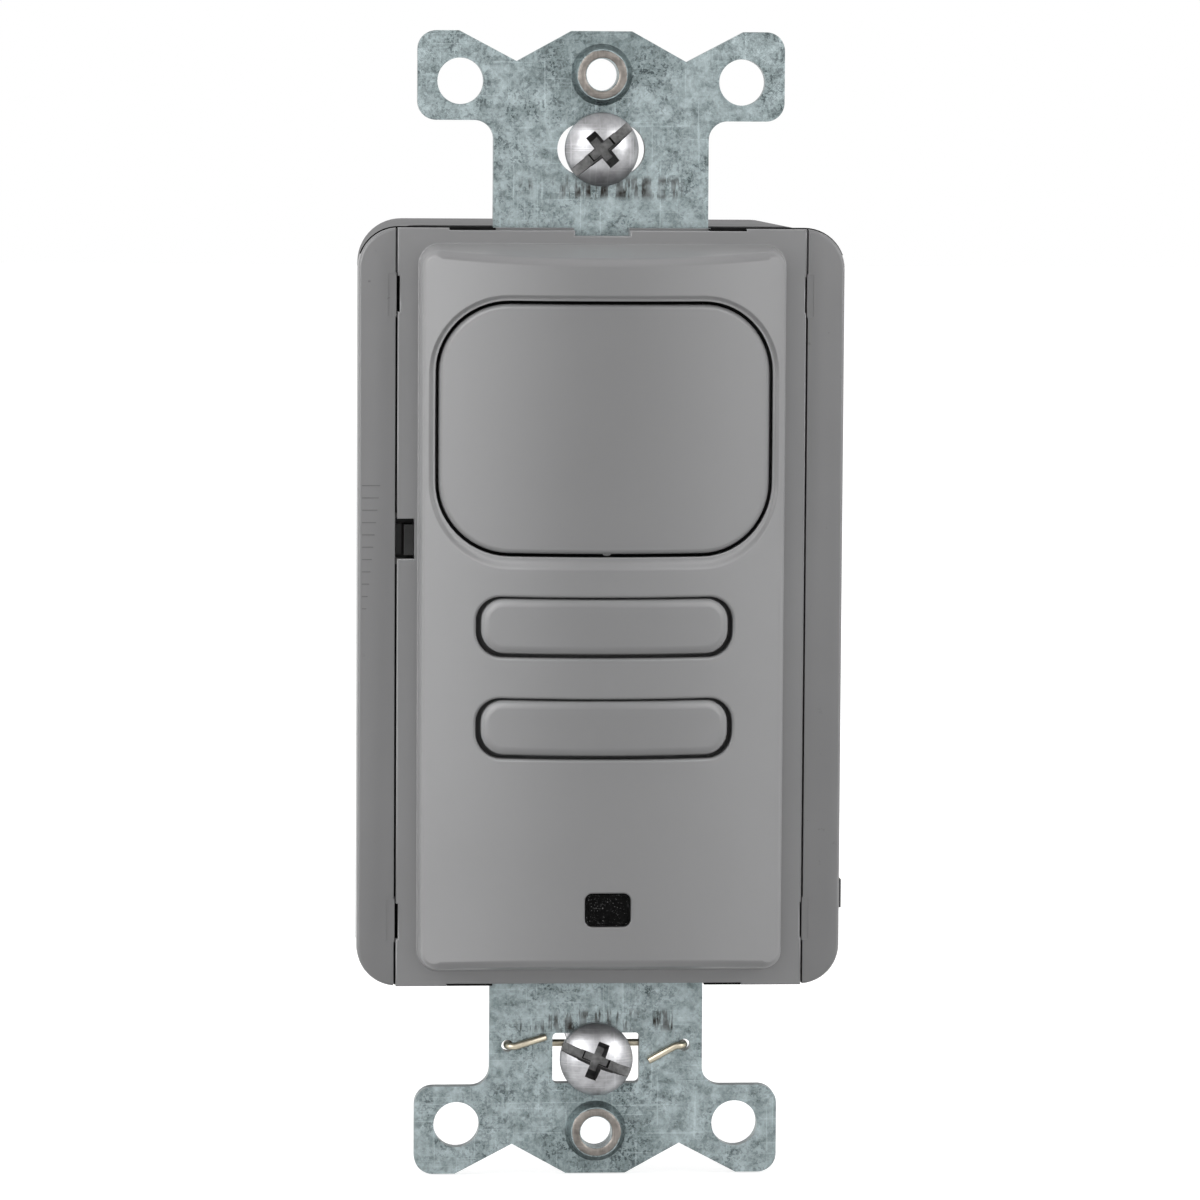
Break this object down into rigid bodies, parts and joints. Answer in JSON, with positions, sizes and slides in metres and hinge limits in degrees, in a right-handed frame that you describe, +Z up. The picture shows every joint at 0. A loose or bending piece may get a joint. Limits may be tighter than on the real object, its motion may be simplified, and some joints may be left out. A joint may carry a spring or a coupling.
{
  "type": "motion sensor light switch",
  "caption": "Wall switch on a steel strap: grey convex face with a large motion-sensor lens, slim push buttons and a small photocell window, side screw terminals behind.",
  "frame": {"origin": "midway between the two box screws, on the back face of the mounting strap", "axes": "+Z up along the strap, +Y from the front of the switch into the wall box, +X to the right as seen from the front"},
  "size_m": [0.0445, 0.042, 0.1046],
  "materials": {
    "zinc_steel": "bluish zinc plating, satin",
    "tinned_wire": "dull tinned wire",
    "fibre": "dull fibre",
    "nickel_steel": "bright nickel plating",
    "grey_wing": "fine matt texture",
    "housing_plastic": "semi-gloss dark grey",
    "grey_cover": "fine matt texture",
    "lens_plastic": "smooth, slightly waxy",
    "black_plastic": "matt black",
    "window_plastic": "dark, finely textured",
    "grey_button": "fine matt texture",
    "stem_plastic": "ivory plastic",
    "board": "green solder mask",
    "can_steel": "drawn steel can",
    "chip_plastic": "matt black",
    "diode_plastic": "dark clear plastic",
    "lamp_plastic": "tinted clear plastic",
    "switch_plastic": "matt black",
    "relay_plastic": "blue case",
    "film_plastic": "yellow case",
    "can_sleeve": "dark blue sleeve",
    "varistor_coat": "coated disc",
    "ferrite": "dark core and winding",
    "brass": "plain",
    "clamp_brass": "plated",
    "copper_screw": "plated",
    "red_screw": "red coated",
    "blue_screw": "blue coated",
    "silver_screw": "nickel plated",
    "green_screw": "green coated"
  },
  "bodies": {
    "switch_body": {"mounting_strap": "zinc_steel", "ground_wire_clip": "tinned_wire", "front_housing": "grey_wing", "rear_housing": "housing_plastic", "case_screws": "nickel_steel", "front_cover": "grey_cover", "pir_lens": "lens_plastic", "lens_retainer": "black_plastic", "photocell_window": "window_plastic", "control_board": "board", "pyro_sensor": "can_steel", "microcontroller": "chip_plastic", "photodiode": "diode_plastic", "status_lamp": "lamp_plastic", "upper_tact_switch": "switch_plastic", "lower_tact_switch": "switch_plastic", "photocell_tact_switch": "switch_plastic", "board_connector": "black_plastic", "power_board": "board", "relay_1": "relay_plastic", "relay_2": "relay_plastic", "film_capacitor": "film_plastic", "electrolytic_capacitor": "can_sleeve", "varistor": "varistor_coat", "power_inductor": "ferrite", "line_terminal": "brass", "load_1_terminal": "brass", "load_2_terminal": "brass", "neutral_terminal": "brass"},
    "upper_button": {"upper_button": "grey_button", "upper_switch_stem": "stem_plastic"},
    "lower_button": {"lower_button": "grey_button", "lower_switch_stem": "stem_plastic"},
    "photocell_key": {"photocell_key": "black_plastic", "photocell_switch_stem": "stem_plastic"},
    "top_screw_retainer": {"top_screw_retainer": "fibre"},
    "top_mounting_screw": {"top_mounting_screw": "nickel_steel"},
    "bottom_mounting_screw": {"bottom_mounting_screw": "nickel_steel"},
    "line_clamp": {"line_clamp": "clamp_brass"},
    "line_screw": {"line_screw": "copper_screw"},
    "load_1_clamp": {"load_1_clamp": "clamp_brass"},
    "load_1_screw": {"load_1_screw": "red_screw"},
    "load_2_clamp": {"load_2_clamp": "clamp_brass"},
    "load_2_screw": {"load_2_screw": "blue_screw"},
    "neutral_clamp": {"neutral_clamp": "clamp_brass"},
    "neutral_screw": {"neutral_screw": "silver_screw"},
    "ground_clamp": {"ground_clamp": "clamp_brass"},
    "ground_screw": {"ground_screw": "green_screw"}
  },
  "joints": [
    {"name": "upper_button_press", "type": "slide", "parent": "switch_body", "child": "upper_button", "axis": [0, 1, 0], "range_m": [0, 0.0006], "stiffness_N_per_m": 1500, "springref_m": -0.0005},
    {"name": "lower_button_press", "type": "slide", "parent": "switch_body", "child": "lower_button", "axis": [0, 1, 0], "range_m": [0, 0.0006], "stiffness_N_per_m": 1500, "springref_m": -0.0005},
    {"name": "photocell_key_press", "type": "slide", "parent": "switch_body", "child": "photocell_key", "axis": [0, 1, 0], "range_m": [0, 0.0004], "stiffness_N_per_m": 1000, "springref_m": -0.0003},
    {"name": "top_screw_shift", "type": "slide", "parent": "switch_body", "child": "top_screw_retainer", "axis": [1, 0, 0], "range_m": [-0.002, 0.002]},
    {"name": "top_screw_turn", "type": "hinge", "parent": "top_screw_retainer", "child": "top_mounting_screw", "pos_m": [0, 0, 0.04167], "axis": [0, 1, 0], "continuous": true},
    {"name": "bottom_screw_turn", "type": "hinge", "parent": "switch_body", "child": "bottom_mounting_screw", "pos_m": [0, 0, -0.04167], "axis": [0, 1, 0], "continuous": true},
    {"name": "line_clamp_slide", "type": "slide", "parent": "switch_body", "child": "line_clamp", "axis": [1, 0, 0], "range_m": [0, 0.00159]},
    {"name": "line_screw_turn", "type": "hinge", "parent": "line_clamp", "child": "line_screw", "pos_m": [0.0174, 0.011, 0.02], "axis": [1, 0, 0], "range_deg": [0, 720]},
    {"name": "load_1_clamp_slide", "type": "slide", "parent": "switch_body", "child": "load_1_clamp", "axis": [1, 0, 0], "range_m": [0, 0.00159]},
    {"name": "load_1_screw_turn", "type": "hinge", "parent": "load_1_clamp", "child": "load_1_screw", "pos_m": [0.0174, 0.011, 0], "axis": [1, 0, 0], "range_deg": [0, 720]},
    {"name": "load_2_clamp_slide", "type": "slide", "parent": "switch_body", "child": "load_2_clamp", "axis": [1, 0, 0], "range_m": [0, 0.00159]},
    {"name": "load_2_screw_turn", "type": "hinge", "parent": "load_2_clamp", "child": "load_2_screw", "pos_m": [0.0174, 0.011, -0.02], "axis": [1, 0, 0], "range_deg": [0, 720]},
    {"name": "neutral_clamp_slide", "type": "slide", "parent": "switch_body", "child": "neutral_clamp", "axis": [-1, 0, 0], "range_m": [0, 0.00159]},
    {"name": "neutral_screw_turn", "type": "hinge", "parent": "neutral_clamp", "child": "neutral_screw", "pos_m": [-0.0174, 0.011, 0.02], "axis": [-1, 0, 0], "range_deg": [0, 720]},
    {"name": "ground_clamp_slide", "type": "slide", "parent": "switch_body", "child": "ground_clamp", "axis": [-1, 0, 0], "range_m": [0, 0.00159]},
    {"name": "ground_screw_turn", "type": "hinge", "parent": "ground_clamp", "child": "ground_screw", "pos_m": [-0.0174, 0.011, -0.02], "axis": [-1, 0, 0], "range_deg": [0, 720]}
  ],
  "couplings": [
    {"joint": "line_screw_turn", "follows": "line_clamp_slide", "rad_per_m": 7915.8},
    {"joint": "load_1_screw_turn", "follows": "load_1_clamp_slide", "rad_per_m": 7915.8},
    {"joint": "load_2_screw_turn", "follows": "load_2_clamp_slide", "rad_per_m": 7915.8},
    {"joint": "neutral_screw_turn", "follows": "neutral_clamp_slide", "rad_per_m": 7915.8},
    {"joint": "ground_screw_turn", "follows": "ground_clamp_slide", "rad_per_m": 7915.8}
  ]
}
